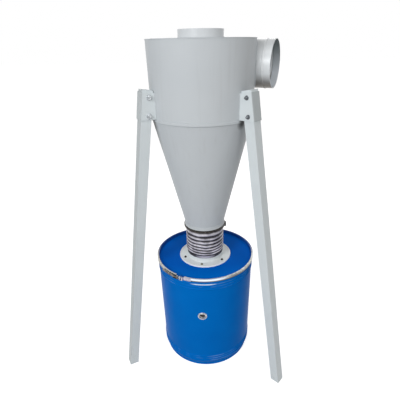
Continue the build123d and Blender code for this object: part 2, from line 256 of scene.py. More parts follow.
def addCamera(s):
    data = bpy.data.cameras.new("photoCamera")
    data.sensor_width = s["sensor"]
    data.lens = s["focalPixels"] / s["framePixels"] * s["sensor"]
    data.shift_x = 0.5 - s["middle"][0] / s["framePixels"]      # the photo is cropped off its lens axis
    data.shift_y = s["middle"][1] / s["framePixels"] - 0.5
    data.clip_end = s["far"]
    camera = bpy.data.objects.new("photoCamera", data)
    bpy.context.collection.objects.link(camera)
    lookDown = Matrix.Rotation(radians(90 - s["tilt"]), 4, "X")
    camera.matrix_world = Matrix.Translation(s["place"]) @ lookDown @ Matrix.Rotation(radians(s["roll"]), 4, "Z")
    bpy.context.scene.camera = camera


# soft studio light, white surroundings
lightSet = {"skyStrength": 0.40, "skyColour": "#FFFDFB", "white": "#FFFFFF",
            "lamps": {"keyLamp": {"place": (-1.9, -2.7, 2.3), "size": 1.4, "watts": 56, "colour": "#FCFDFF"},
                      "topLamp": {"place": (0.0, -0.9, 4.2), "size": 3.0, "watts": 7, "colour": "#FFFFFF"},
                      "sideLamp": {"place": (1.2, -2.7, 2.7), "size": 1.2, "watts": 21, "colour": "#FFFDFC"},
                      "backLamp": {"place": (0.3, 3.2, 1.9), "size": 2.4, "watts": 20, "colour": "#FFFFFF"}},
            "aim": (0, 0, 0.75), "floorSize": 60.0, "floorColour": "#C4C4C4", "floorLift": 0.8,
            "floorRoughness": 0.9, "floorGloss": 0.1}


def addLight(s):
    world = bpy.data.worlds.new("studioWorld")
    bpy.context.scene.world = world
    world.use_nodes = True
    tree = world.node_tree
    tree.nodes.clear()
    sky = addNode(tree, "ShaderNodeBackground", {"Color": hexColour(s["skyColour"]), "Strength": s["skyStrength"]})
    white = addNode(tree, "ShaderNodeBackground", {"Color": hexColour(s["white"]), "Strength": 1.0})
    mixed = addNode(tree, "ShaderNodeMixShader", links={"Fac": seenDirectly(tree), "Shader": sky.outputs[0],
                                                        "Shader_001": white.outputs[0]})
    addNode(tree, "ShaderNodeOutputWorld", links={"Surface": mixed.outputs[0]})
    for name, lamp in s["lamps"].items():
        data = bpy.data.lights.new(name, "AREA")
        data.shape = "DISK"
        data.size = lamp["size"]
        data.energy = lamp["watts"]
        data.color = hexColour(lamp["colour"])[:3]
        obj = bpy.data.objects.new(name, data)
        bpy.context.collection.objects.link(obj)
        obj.matrix_world = standingOn(Vector(lamp["place"]), Vector(lamp["place"]) - Vector(s["aim"]))


def addFloor(s):                         # pale floor that keeps the shadow and shows white
    deselectAll()
    bpy.ops.mesh.primitive_plane_add(size=s["floorSize"], location=(0, 0, 0))
    floor = bpy.context.object
    floor.name = "studioFloor"
    material, tree, shader, place = startMaterial("paleFloor", {
        "Base Color": hexColour(s["floorColour"]), "Roughness": s["floorRoughness"],
        "Specular IOR Level": s["floorGloss"]})
    lift = addNode(tree, "ShaderNodeEmission", {"Color": hexColour(s["white"]), "Strength": s["floorLift"]})
    none = addNode(tree, "ShaderNodeEmission", {"Strength": 0.0})
    glow = addNode(tree, "ShaderNodeMixShader", links={"Fac": seenDirectly(tree), "Shader": none.outputs[0],
                                                       "Shader_001": lift.outputs[0]})
    both = addNode(tree, "ShaderNodeAddShader", links={"Shader": shader.outputs[0], "Shader_001": glow.outputs[0]})
    tree.links.new(both.outputs[0], tree.nodes["Material Output"].inputs["Surface"])
    floor.data.materials.append(material)


# materials; relief is size, detail, strength and depth, and "seen" is where a pattern starts and is full

coatSet = {"scuff": 0.0, "cloud": 160 * mm, "streak": 14 * mm, "streakDrawn": (1, 1, 0.06),    # all the paints
           "streakSeen": (0.55, 0.8), "dustColour": "#9C9A94", "scuffHigh": 160 * mm, "patch": 9 * mm,
           "patchSeen": (0.58, 0.72), "scuffColour": "#6E6A64",
           "relief": (7 * mm, 2.0, 0.12, 0.25 * mm)}   # orange peel is about 2 mm; drawn at 7 mm so that it shows
paintSet = {
    # soft grey of the cyclone's sheet, with painted shadow on the cone under the front brackets
    "bodyPaint": {"colour": "#C9CED1", "shade": "#BFC5C9", "roughness": (0.36, 0.48), "gloss": 0.12, "dustAndShade": 0.10,
                  "bracketShadows": {"colour": "#2C2E2F", "depth": 0.85, "core": 0.3,
                              "places": ((-43, 183, 1107, 27), (-160, 182, 1106, 30), (-164, 177, 1080, 24),
                                         (-167, 170, 1052, 17))}},
    # the outlet: the body's paint made paler as painted light, and glossier
    "litPipePaint": {"colour": "#D7DBDD", "shade": "#CED2D5", "roughness": (0.26, 0.36), "gloss": 0.45, "dustAndShade": 0.08},
    # the inlet: the body's paint made paler as painted light, glossy, with painted shade along the top, brownish
    # painted shade underneath, and a lining with painted shade overhead and painted light below
    "litInletPaint": {"colour": "#E3E7E9", "shade": "#DADEE0", "roughness": (0.26, 0.36), "gloss": 0.45, "dustAndShade": 0.08,
                   "bore": {"turn": 23.0, "offset": 106.5 * mm, "level": 1274.5 * mm, "radius": 75.7 * mm,
                            "paintedLight": "#8A9496", "litLining": "#EAF1F8", "litLiningSeen": (60 * mm, -30 * mm),
                            "dustAndShade": "#C4C8CA", "dustAndShadeSeen": (38 * mm, 62 * mm),
                            "grimeAndShade": "#6A6256", "grimeAndShadeSeen": (-26 * mm, -66 * mm)}},
    # pale satin legs and brackets, with painted shade on the outer faces of the front legs
    "framePaint": {"colour": "#DBE2E4", "shade": "#D1D9DC", "roughness": (0.38, 0.52), "gloss": 0.25, "dustAndShade": 0.08,
                   "scuff": 0.7,
                   "outerFaceShade": {"colour": "#B8BFC1", "blend": 0.8 * mm,
                                 "faces": ((-154.0, 9.222, 413.8 * mm), (-42.0, 10.551, 442.6 * mm))}},
    # near-white edge of the lid flange, brightened as painted highlight, and its dustier plate, made paler as painted
    # light against the shade from above
    "highlightLipPaint": {"colour": "#F4F8FA", "shade": "#EBF1F4", "roughness": (0.3, 0.42), "gloss": 0.4, "dustAndShade": 0.04},
    "litFlangePaint": {"colour": "#E8EDEE", "shade": "#DCE3E5", "roughness": (0.34, 0.48), "gloss": 0.3, "dustAndShade": 0.16},
}


def sprayedPaint(name, s):               # satin enamel sprayed on steel: soft gloss, faint orange peel
    material, tree, shader, place = startMaterial(name, {"Specular IOR Level": s["gloss"]})
    cloud = addNode(tree, "ShaderNodeTexNoise", {"Scale": 1 / s["cloud"], "Detail": 3.0}, {"Vector": place})
    colour = layOver(tree, s["colour"], s["shade"], cloud.outputs["Fac"])
    # runs of dust down the sheet, about 14 mm apart
    slide = addNode(tree, "ShaderNodeMapping", {"Scale": s["streakDrawn"]}, {"Vector": place})
    streak = addNode(tree, "ShaderNodeTexNoise", {"Scale": 1 / s["streak"], "Detail": 4.0},
                     {"Vector": slide.outputs["Vector"]})
    colour = layOver(tree, colour, s["dustColour"], streak.outputs["Fac"], *s["streakSeen"], s["dustAndShade"])
    # scuffs low down, where boots and brooms reach: patches about 9 mm across
    height = addNode(tree, "ShaderNodeSeparateXYZ", links={"Vector": place})
    low = addNode(tree, "ShaderNodeMapRange", {"From Max": s["scuffHigh"], "To Min": s["scuff"], "To Max": 0.0},
                  {"Value": height.outputs["Z"]})
    patch = addNode(tree, "ShaderNodeTexNoise", {"Scale": 1 / s["patch"], "Detail": 6.0, "Roughness": 0.7},
                    {"Vector": place})
    start, full = s["patchSeen"]
    worn = addNode(tree, "ShaderNodeMapRange", {"From Min": start, "From Max": full}, {"Value": patch.outputs["Fac"]})
    where = addNode(tree, "ShaderNodeMath", {"operation": "MULTIPLY"},
                    {"Value": low.outputs["Result"], "Value_001": worn.outputs["Result"]})
    colour = layOver(tree, colour, s["scuffColour"], where.outputs[0])
    if "bracketShadows" in s:                   # painted shadow: dark spots on the cone under the brackets
        bracketShadows = s["bracketShadows"]
        for azimuth, radius, level, reach in bracketShadows["places"]:
            middle = polar(azimuth, radius * mm, level * mm)
            away = addNode(tree, "ShaderNodeVectorMath", {"operation": "DISTANCE", "Vector_001": middle},
                           {"Vector": place})
            colour = layOver(tree, colour, bracketShadows["colour"], away.outputs["Value"], reach * mm,
                             bracketShadows["core"] * reach * mm, bracketShadows["depth"])
    if "outerFaceShade" in s:                 # painted shade: the outer faces of the front legs are darker
        for azimuth, lean, start in s["outerFaceShade"]["faces"]:
            outward = polar(azimuth, cos(radians(lean)), sin(radians(lean)))
            depth = addNode(tree, "ShaderNodeVectorMath", {"operation": "DOT_PRODUCT", "Vector_001": outward},
                            {"Vector": place})
            colour = layOver(tree, colour, s["outerFaceShade"]["colour"], depth.outputs["Value"], start,
                             start + s["outerFaceShade"]["blend"])
    if "bore" in s:                      # inside the pipe: painted shade overhead, painted light below
        bore = s["bore"]
        line = addNode(tree, "ShaderNodeMapping", {"Location": (0, -bore["offset"], -bore["level"]),
                                                   "Rotation": (0, 0, radians(bore["turn"]))}, {"Vector": place})
        parts = addNode(tree, "ShaderNodeSeparateXYZ", links={"Vector": line.outputs["Vector"]})
        rise = parts.outputs["Z"]
        ring = addNode(tree, "ShaderNodeCombineXYZ", links={"Y": parts.outputs["Y"], "Z": rise})
        reach = addNode(tree, "ShaderNodeVectorMath", {"operation": "LENGTH"}, {"Vector": ring.outputs["Vector"]})
        inside = addNode(tree, "ShaderNodeMath", {"operation": "LESS_THAN", "Value_001": bore["radius"]},
                         {"Value": reach.outputs["Value"]})
        litAndShadedLining = layOver(tree, bore["paintedLight"], bore["litLining"], rise, *bore["litLiningSeen"])
        # outside: painted shade along the top, and brownish painted shade underneath
        for key in ("dustAndShade", "grimeAndShade"):
            colour = layOver(tree, colour, bore[key], rise, *bore[key + "Seen"])
        colour = addNode(tree, "ShaderNodeMix", {"data_type": "RGBA"},
                         {"Factor_Float": inside.outputs[0], "A_Color": colour, "B_Color": litAndShadedLining}).outputs[2]
    finishCoat(tree, shader, place, colour, patch.outputs["Fac"], s)
    return material


enamelSet = {
    # even blue wall of the drum, and its lid in a deeper blue as painted shade, with painted shade in the corner and
    # painted light in front
    "drumEnamel": {"colour": "#0072CA", "deep": "#0066BE", "scratch": "#2E88D2", "gloss": 0.012},
    "shadedLidEnamel": {"colour": "#0062C6", "deep": "#0058BC", "scratch": "#1F76CC", "gloss": 0.004,
                  "cornerShade": {"colour": "#1A54A0", "seen": (203 * mm, 210 * mm)},
                  "litFront": {"colour": "#006CCE", "seen": (-90 * mm, -190 * mm)}},
}
rubSet = {"roughness": (0.26, 0.4), "cloud": 120 * mm, "hair": 26 * mm, "hairDrawn": (0.25, 0.25, 5.0),
          "hairSeen": (0.66, 0.76), "hairMost": 0.12, "crest": (212.6 * mm, 213.3 * mm), "patch": 80 * mm,
          "patchSeen": (0.5, 0.72), "patchMost": 0.16, "paintedHighlight": "#DDEFFF", "highlightPlace": (-0.008, -0.213, 0.491),
          "highlightReach": 58 * mm, "highlightCore": 0.55, "highlightBelow": 5 * mm,
          "relief": (90 * mm, 1.0, 0.25, 1.2 * mm)}   # the thin wall waves a little over a hand's width


def drumEnamel(name, s):                 # glossy baked enamel on thin drum steel: deep blue, with painted highlights on the bead crests
    material, tree, shader, place = startMaterial(name, {"Specular IOR Level": s["gloss"]})
    cloud = addNode(tree, "ShaderNodeTexNoise", {"Scale": 1 / s["cloud"], "Detail": 3.0}, {"Vector": place})
    colour = layOver(tree, s["colour"], s["deep"], cloud.outputs["Fac"])
    # hairline rubs run round the drum, a few millimetres apart
    around = addNode(tree, "ShaderNodeMapping", {"Scale": s["hairDrawn"]}, {"Vector": place})
    rub = addNode(tree, "ShaderNodeTexNoise", {"Scale": 1 / s["hair"], "Detail": 7.0, "Roughness": 0.75},
                  {"Vector": around.outputs["Vector"]})
    colour = layOver(tree, colour, s["scratch"], rub.outputs["Fac"], *s["hairSeen"], s["hairMost"])
    # painted highlights on the bead crests: faint patches a hand's width long, and one long bright line
    split, radius = aroundAxis(tree, place)
    start, full = s["crest"]
    crest = addNode(tree, "ShaderNodeMapRange", {"From Min": start, "From Max": full}, {"Value": radius})
    patch = addNode(tree, "ShaderNodeTexNoise", {"Scale": 1 / s["patch"], "Detail": 3.0}, {"Vector": place})
    start, full = s["patchSeen"]
    faint = addNode(tree, "ShaderNodeMapRange", {"From Min": start, "From Max": full, "To Max": s["patchMost"]},
                    {"Value": patch.outputs["Fac"]})
    away = addNode(tree, "ShaderNodeVectorMath", {"operation": "DISTANCE", "Vector_001": s["highlightPlace"]},
                   {"Vector": place})
    bright = addNode(tree, "ShaderNodeMapRange", {"From Min": s["highlightCore"] * s["highlightReach"], "From Max": s["highlightReach"],
                                                  "To Min": 1.0, "To Max": 0.0}, {"Value": away.outputs["Value"]})
    above = addNode(tree, "ShaderNodeMath", {"operation": "GREATER_THAN",
                                             "Value_001": s["highlightPlace"][2] - s["highlightBelow"]},
                    {"Value": split.outputs["Z"]})
    long = addNode(tree, "ShaderNodeMath", {"operation": "MULTIPLY"},
                   {"Value": bright.outputs["Result"], "Value_001": above.outputs[0]})
    most = addNode(tree, "ShaderNodeMath", {"operation": "MAXIMUM"},
                   {"Value": faint.outputs["Result"], "Value_001": long.outputs[0]})
    paintedLight = addNode(tree, "ShaderNodeMath", {"operation": "MULTIPLY"},
                   {"Value": crest.outputs["Result"], "Value_001": most.outputs[0]})
    colour = layOver(tree, colour, s["paintedHighlight"], paintedLight.outputs[0])
    # painted light on the front of the lid; painted shade in the corner of the sunk lid
    for key, value in (("litFront", split.outputs["Y"]), ("cornerShade", radius)):
        if key in s:
            colour = layOver(tree, colour, s[key]["colour"], value, *s[key]["seen"])
    finishCoat(tree, shader, place, colour, rub.outputs["Fac"], s)
    return material


pitSet = {"metallic": 1.0, "gloss": 0.5, "relief": (4 * mm, 4.0, 0.15, 0.2 * mm)}     # shallow pits, 4 mm apart
steelSet = {
    # the closing ring: grey, with painted shade on its lower part, a painted highlight in front, and dark blue along
    # its top at the back
    "ringZinc": {"bright": "#B4B4B1", "dull": "#8E8D88", "roughness": (0.3, 0.46), "grain": 5.0,
                 "lowerShade": {"colour": "#57554F", "seen": (513 * mm, 508 * mm)},
                 "blueTopEdge": {"colour": "#0E2C60", "back": (-40 * mm, 50 * mm), "level": (518 * mm, 518.5 * mm)},
                 "paintedHighlight": {"colour": "#E2E9F6", "front": (-193 * mm, -209 * mm), "level": (509.5 * mm, 513 * mm)}},
    # the closure: blotchy lever, pale lug, bright link, dark ear
    "closureZinc": {"bright": "#9A948F", "dull": "#524E4B", "roughness": (0.26, 0.44), "grain": 5.0},
    "lugZinc": {"bright": "#BCB8C6", "dull": "#A29EAC", "roughness": (0.34, 0.46), "grain": 7.0},
    "linkZinc": {"bright": "#D9DADD", "dull": "#5A5B5E", "roughness": (0.2, 0.32), "grain": 5.0},
    "earSteel": {"bright": "#45423F", "dull": "#1F1E1D", "roughness": (0.34, 0.5), "grain": 4.0},
    # round the hose: dark band with a pale painted highlight in front, brown-black strap, black housings, pale cuff
    "lowerBand": {"bright": "#4C4A4E", "dull": "#28272A", "roughness": (0.3, 0.46), "grain": 5.0, "metallic": 0.2,
                  "paintedHighlight": {"colour": "#BDB9C4", "front": (-66 * mm, -78 * mm), "level": (0, 1 * mm)}},
    "strapSteel": {"bright": "#47423C", "dull": "#1F1C1A", "roughness": (0.36, 0.54), "grain": 4.0, "metallic": 0.6},
    "housingSteel": {"bright": "#24221F", "dull": "#0E0D0C", "roughness": (0.36, 0.54), "grain": 4.0,
                     "metallic": 0.3, "gloss": 0.1},
    "cuffZinc": {"bright": "#D2CFD6", "dull": "#A6A3AB", "roughness": (0.34, 0.5), "grain": 5.0},
    # fixings: bright bolts, greyer nuts, one dull yellowish screw among black ones
    "boltZinc": {"bright": "#D0D5D8", "dull": "#8B9094", "roughness": (0.2, 0.4), "grain": 2.0},
    "nutSteel": {"bright": "#8C9195", "dull": "#4C5054", "roughness": (0.28, 0.48), "grain": 2.0},
    "dullScrew": {"bright": "#9A9A88", "dull": "#6F6F62", "roughness": (0.4, 0.6), "grain": 2.0},
    "blackScrew": {"bright": "#4A4846", "dull": "#2C2B2A", "roughness": (0.4, 0.6), "grain": 2.0},
    # the bung: whitish neck, brightened as painted highlight, round a plug kept dark as painted shade in its recess
    "bungZincHighlight": {"bright": "#F0F0F2", "dull": "#8E8E90", "roughness": (0.3, 0.48), "grain": 6.0, "metallic": 0.4},
    "plugShadeSteel": {"bright": "#4E4E52", "dull": "#2A2A2E", "roughness": (0.36, 0.55), "grain": 3.0, "metallic": 0.3},
}


def bareSteel(name, s):                  # plated or bare steel: crystal patches that differ in brightness
    material, tree, shader, place = startMaterial(name, {"Metallic": s["metallic"], "Specular IOR Level": s["gloss"]})
    grain = addNode(tree, "ShaderNodeTexVoronoi", {"Scale": 1 / (s["grain"] * mm)}, {"Vector": place})
    lightness = addNode(tree, "ShaderNodeSeparateColor", links={"Color": grain.outputs["Color"]})
    colour = layOver(tree, s["bright"], s["dull"], lightness.outputs["Red"])
    split = addNode(tree, "ShaderNodeSeparateXYZ", links={"Vector": place})
    if "lowerShade" in s:                     # painted shade on the lower part, under the rolled edge
        colour = layOver(tree, colour, s["lowerShade"]["colour"], split.outputs["Z"], *s["lowerShade"]["seen"])
    # painted highlight on the front; dark blue along the top edge at the back
    for key, side in (("paintedHighlight", "front"), ("blueTopEdge", "back")):
        if key in s:
            shares = []
            for (start, full), axis in ((s[key][side], "Y"), (s[key]["level"], "Z")):
                share = addNode(tree, "ShaderNodeMapRange", {"From Min": start, "From Max": full},
                                {"Value": split.outputs[axis]})
                shares.append(share.outputs["Result"])
            both = addNode(tree, "ShaderNodeMath", {"operation": "MULTIPLY"},
                           {"Value": shares[0], "Value_001": shares[1]})
            colour = layOver(tree, colour, s[key]["colour"], both.outputs[0])
    finishCoat(tree, shader, place, colour, lightness.outputs["Green"], s)
    return material


ribbedSet = {"crest": "#E2DFE5", "flank": "#ABA8B2", "dim": "#3B3843", "root": "#141118", "depth": 4.2 * mm,
             "gloss": 0.4,
             "roughness": (0.34, 0.6), "stops": ((0.36, "dim"), (0.66, "flank")), "grooveShadeSpread": 34 * mm,
             "grooveShadeSpreadSeen": (0.3, 0.7), "grooveShadeSpreadShift": (-0.3, 0.22), "grimeAndShade": 11 * mm, "grimeAndShadeSeen": (0.5, 0.75),
             "grimeMost": 0.35, "grimeColour": "#7B7670"}


def hosePlastic(s, crest):               # soft PVC over a wire: pale crests, painted shade darkening the grooves
    material, tree, shader, place = startMaterial("hosePlastic", {"Specular IOR Level": s["gloss"]})
    radius = aroundAxis(tree, place)[1]
    rise = addNode(tree, "ShaderNodeMapRange", {"From Min": crest - s["depth"], "From Max": crest}, {"Value": radius})
    # painted shade in the grooves reaches further in some places, a few fingers' width apart
    grooveShadeSpread = addNode(tree, "ShaderNodeTexNoise", {"Scale": 1 / s["grooveShadeSpread"], "Detail": 3.0}, {"Vector": place})
    shift = addNode(tree, "ShaderNodeMapRange", {"From Min": s["grooveShadeSpreadSeen"][0], "From Max": s["grooveShadeSpreadSeen"][1],
                                                 "To Min": s["grooveShadeSpreadShift"][0], "To Max": s["grooveShadeSpreadShift"][1]},
                    {"Value": grooveShadeSpread.outputs["Fac"]})
    sunk = addNode(tree, "ShaderNodeMath", {"operation": "ADD"},
                   {"Value": rise.outputs["Result"], "Value_001": shift.outputs["Result"]})
    ramp = addNode(tree, "ShaderNodeValToRGB", links={"Fac": sunk.outputs[0]})
    ramp.color_ramp.elements[0].color = hexColour(s["root"])
    ramp.color_ramp.elements[1].color = hexColour(s["crest"])
    for stop, name in s["stops"]:
        ramp.color_ramp.elements.new(stop).color = hexColour(s[name])
    grimeAndShade = addNode(tree, "ShaderNodeTexNoise", {"Scale": 1 / s["grimeAndShade"], "Detail": 5.0}, {"Vector": place})
    colour = layOver(tree, ramp.outputs["Color"], s["grimeColour"], grimeAndShade.outputs["Fac"], *s["grimeAndShadeSeen"],
                     s["grimeMost"])
    finishCoat(tree, shader, place, colour, grimeAndShade.outputs["Fac"], s)
    return material


finishes = {name: sprayedPaint(name, {**coatSet, **s}) for name, s in paintSet.items()}
finishes.update({name: bareSteel(name, {**pitSet, **s}) for name, s in steelSet.items()})
finishes.update({name: drumEnamel(name, {**s, **rubSet}) for name, s in enamelSet.items()})
finishes["hosePlastic"] = hosePlastic(ribbedSet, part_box("hose")[1][0])
slotFinish = {"body_paint": "bodyPaint", "frame_paint": "framePaint", "flange_paint": "litFlangePaint",
              "hose_plastic": "hosePlastic", "clamp_steel": "lowerBand", "drum_paint": "drumEnamel",
              "zinc_steel": "closureZinc", "bung_zinc": "bungZincHighlight"}
nodeFinish = {"outlet_pipe": "litPipePaint", "inlet_duct": "litInletPaint", "clamp_ring": "ringZinc",
              "drum_lid": "shadedLidEnamel", "hose_clamp_top": "cuffZinc", "ring_lug_right": "lugZinc",
              "ring_lug_left": "earSteel", "clamp_link": "linkZinc", "clamp_pin": "linkZinc"}
for row in frame["record"]["subparts"]:
    node = frame["nodes"][row["node"]]
    node.data.materials.clear()
    node.data.materials.append(finishes[nodeFinish.get(row["node"], slotFinish[row["material_slot"]])])
print("materials on the frame")


# ways to start a piece

def drawProfile(points):                 # one vertex pulled along the outline, in the xz plane
    deselectAll()
    bpy.ops.mesh.primitive_plane_add(size=mm, location=(0, 0, 0))
    obj = bpy.context.object
    bpy.ops.object.mode_set(mode="EDIT")
    bpy.ops.mesh.select_mode(type="VERT")
    bpy.ops.mesh.select_all(action="SELECT")
    bpy.ops.mesh.merge(type="CENTER")
    path = [Vector((radius, 0, level)) for radius, level in points]
    bpy.ops.transform.translate(value=path[0])
    for start, end in zip(path, path[1:]):
        bpy.ops.mesh.extrude_region_move(TRANSFORM_OT_translate={"value": end - start})
    return obj


def spinProfile(points, steps, unit=1.0):      # turned round the z axis
    obj = drawProfile([(radius * unit, level * unit) for radius, level in points])
    bpy.ops.mesh.select_all(action="SELECT")
    bpy.ops.mesh.spin(steps=steps, angle=2 * pi, center=(0, 0, 0), axis=(0, 0, 1))
    objectMode()
    recalcOutward(obj)
    return obj


def addDisc(radius, height, sides, lift=0.0):  # stands on z = lift
    deselectAll()
    bpy.ops.mesh.primitive_cylinder_add(vertices=sides, radius=radius, depth=height,
                                        location=(0, 0, lift + height / 2))
    disc = bpy.context.object
    settle(disc)
    return disc


def addBox(size, middle):
    deselectAll()
    bpy.ops.mesh.primitive_cube_add(size=1, location=middle)
    box = bpy.context.object
    box.scale = size
    settle(box)
    return box


def meshAlong(name, points, settings, radii=None, closed=False):      # a curve through points, made a mesh
    data = bpy.data.curves.new(name, "CURVE")
    data.dimensions = "3D"
    for key, value in settings.items():
        setattr(data, key, value)
    spline = data.splines.new("POLY")
    spline.points.add(len(points) - 1)
    spline.use_cyclic_u = closed
    for index, (point, slot) in enumerate(zip(points, spline.points)):
        slot.co = (*point, 1)
        slot.radius = radii[index] if radii else 1.0
    obj = bpy.data.objects.new(name, data)
    bpy.context.collection.objects.link(obj)
    activate(obj)
    bpy.ops.object.convert(target="MESH")
    obj = bpy.context.object
    recalcOutward(obj)
    return obj


def addWall(obj, thick, offset):         # solidify, once the normals face outward
    wall = obj.modifiers.new("wall", "SOLIDIFY")
    wall.thickness = thick
    wall.offset = offset


def addLumps(obj, name, size, strength, direction="NORMAL"):   # as weld freezes, or a hose is pushed on
    texture = bpy.data.textures.new(name, "CLOUDS")
    texture.noise_scale = size
    lumps = obj.modifiers.new(name, "DISPLACE")
    lumps.texture = texture
    lumps.texture_coords = "LOCAL"
    lumps.direction = direction
    lumps.strength = strength
    lumps.mid_level = 0.5


# pieces that the frame leaves to the scene

hoseSet = {"pitches": (120, 92, 86, 78, 70, 66, 60), "depth": ribbedSet["depth"], "cuff": 11 * mm, "lowCuff": 15 * mm,
           "steps": 96, "ribSteps": 10, "fullness": 0.7, "wall": 1.1 * mm, "waver": 6 * mm, "waverSize": 60 * mm}


def ribbedHose(s):                       # ribs closer together low down, wavering as on a hose pushed on by hand
    low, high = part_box("hose")
    root = high[0] - s["depth"]
    share = (high[2] - low[2] - s["cuff"] - s["lowCuff"]) / sum(s["pitches"])
    level = high[2] - s["cuff"]
    outline = [(root, high[2]), (root, level)]
    for pitch in s["pitches"]:
        for step in range(1, s["ribSteps"] + 1):
            part = step / s["ribSteps"]
            swell = (0.5 - 0.5 * cos(2 * pi * part)) ** s["fullness"]
            outline.append((root + s["depth"] * swell, level - share * pitch * part))
        level -= share * pitch
    outline.append((root, low[2]))
    hose = spinProfile(outline, s["steps"])
    addWall(hose, s["wall"], -1)
    addLumps(hose, "ribWaver", s["waverSize"], s["waver"], "Z")
    applyModifiers(hose)
    dress(hose, "ribbedHose", "hosePlastic", 60, stands=["hose"])


headSet = {"washerSides": 32, "washerRim": 0.6 * mm, "washerCrown": 0.35 * mm, "chamfer": 1.1 * mm,
           "dishRim": 1.2 * mm, "dish": -0.4 * mm}     # shared by bolts, nuts and screws


def addWasher(s):
    washer = addDisc(s["washer"], s["washerHigh"], headSet["washerSides"])
    insetTop(washer, headSet["washerRim"], 0.0)
    editStart(washer)
    selectFaces(washer, lambda face: face.normal.z > 0.9 and face.calc_center_median().xy.length < mm)
    bpy.ops.transform.translate(value=(0, 0, headSet["washerCrown"]))
    objectMode()
    return washer


def hexHead(s, height, lift):            # six flats with a turned chamfer and a faint dished top
    head = addDisc(s["flats"] / sqrt(3), height, 6, lift)
    top = lift + height - 0.1 * mm
    bevelEdges(head, lambda edge: all(vert.co.z > top for vert in edge.verts), headSet["chamfer"], 2)
    insetTop(head, headSet["dishRim"], headSet["dish"])
    return head


boltSet = {"flats": 13 * mm, "headHigh": 5.5 * mm, "washer": 9.5 * mm, "washerHigh": 1.8 * mm, "faceOut": 22.1 * mm,
           "nutSize": {"flats": 10 * mm, "washer": 7.2 * mm, "nutHigh": 5 * mm, "shank": 3 * mm, "standOut": 5 * mm,
                       "pitch": 1.2 * mm, "root": 0.86, "tip": 0.75, "tipHigh": (0.7 * mm, 0.8 * mm), "steps": 16},
           "headTurn": (17, 31), "nutTurn": (9, 23),   # degrees for the upper one, and how much more for the lower
           "legs": {"right": -42.0, "left": -154.0, "rear": 82.0},
           "places": {"right": [(211 * mm, 1189 * mm), (219.5 * mm, 1132 * mm)],
                      "left": [(203 * mm, 1188 * mm), (209 * mm, 1130 * mm)],
                      "rear": [(205 * mm, 1188 * mm), (213 * mm, 1130 * mm)]}}


def nutEnd(s):                           # nut with the thread standing out of it
    top = s["washerHigh"] + s["nutHigh"]
    turns = [(0.0, top - mm), (s["shank"], top - mm)]
    for turn in range(int(s["standOut"] / s["pitch"])):
        turns.append((s["shank"] * s["root"], top + (turn + 0.25) * s["pitch"]))
        turns.append((s["shank"], top + (turn + 0.75) * s["pitch"]))
    end = top + s["standOut"]
    turns += [(s["shank"] * s["tip"], end + s["tipHigh"][0]), (0.0, end + s["tipHigh"][1])]
    thread = spinProfile(turns, s["steps"])
    return joinAll([addWasher(s), hexHead(s, s["nutHigh"], s["washerHigh"]), thread])


def bracketBolts(s):
    heads, ends = [], []
    for name, azimuth in s["legs"].items():
        side = polar(azimuth - 90, 1, 0)
        headSide = side if name == "rear" else -side
        for index, (radius, level) in enumerate(s["places"][name]):
            middle = polar(azimuth, radius, level)
            for places, way, (first, more) in ((heads, headSide, s["headTurn"]), (ends, -headSide, s["nutTurn"])):
                places.append(standingOn(middle + way * s["faceOut"], way, first + more * index))
    bolt = joinAll([addWasher(s), hexHead(s, s["headHigh"], s["washerHigh"])])
    dress(copiesAt(bolt, heads), "bracketBolts", "boltZinc", 30)
    dress(copiesAt(nutEnd({**s, **s["nutSize"]}), ends), "bracketNuts", "nutSteel", 30)


# each leg's azimuth, the radius of its foot and its lean
wrapSet = {"legs": {"right": (-42.0, 430 * mm, 10.551), "left": (-154.0, 401 * mm, 9.222),
                    "rear": (82.0, 415 * mm, 9.865)},
           "tube": 38 * mm, "wide": 44.2 * mm, "sheet": 3 * mm, "stand": 3.2 * mm, "lap": 3.9 * mm,
           "low": 1118 * mm, "high": 1207 * mm, "bend": 2.6 * mm, "seat": 0.1 * mm}


def bracketWraps(s):                     # each bracket's plate folds round the outside of its leg
    wrap = addBox((s["wide"], s["stand"], s["high"] - s["low"]), (0, s["seat"] + s["stand"] / 2, 0))
    inside = s["wide"] / 2 - s["sheet"]
    cutBothSides(wrap, inside, (1, 0, 0))
    editStart(wrap)
    selectFaces(wrap, lambda face: face.normal.y < -0.9 and abs(face.calc_center_median().x) > inside)
    bpy.ops.mesh.extrude_region_move(TRANSFORM_OT_translate={"value": (0, -s["lap"] - s["seat"], 0)})
    objectMode()

    def outerFold(edge):
        upright = abs(edge.verts[0].co.z - edge.verts[1].co.z) > s["sheet"]
        return upright and all(vert.co.y > s["stand"] and abs(vert.co.x) > inside for vert in edge.verts)

    bevelEdges(wrap, outerFold, s["bend"], 4)
    recalcOutward(wrap)
    places = []
    for azimuth, foot, lean in s["legs"].values():
        level = (s["low"] + s["high"]) / 2
        leanBy = radians(lean)
        across = polar(azimuth - 90, 1, 0)
        outward = polar(azimuth, cos(leanBy), sin(leanBy))
        reach = foot - level * sin(leanBy) / cos(leanBy) + s["tube"] / 2 / cos(leanBy)
        turned = Matrix((across, outward, across.cross(outward))).transposed().to_4x4()
        places.append(Matrix.Translation(polar(azimuth, reach, level)) @ turned)
    dress(copiesAt(wrap, places), "bracketWraps", "framePaint", 30)


screwSet = {"groups": {"flangeScrews": ("blackScrew", (-159, -39, 62, 130)), "frontScrew": ("dullScrew", (-99,))},
            "radius": 95 * mm, "flats": 7.5 * mm, "headHigh": 3.6 * mm, "washer": 5.6 * mm, "washerHigh": 1.0 * mm,
            "turn": 25}


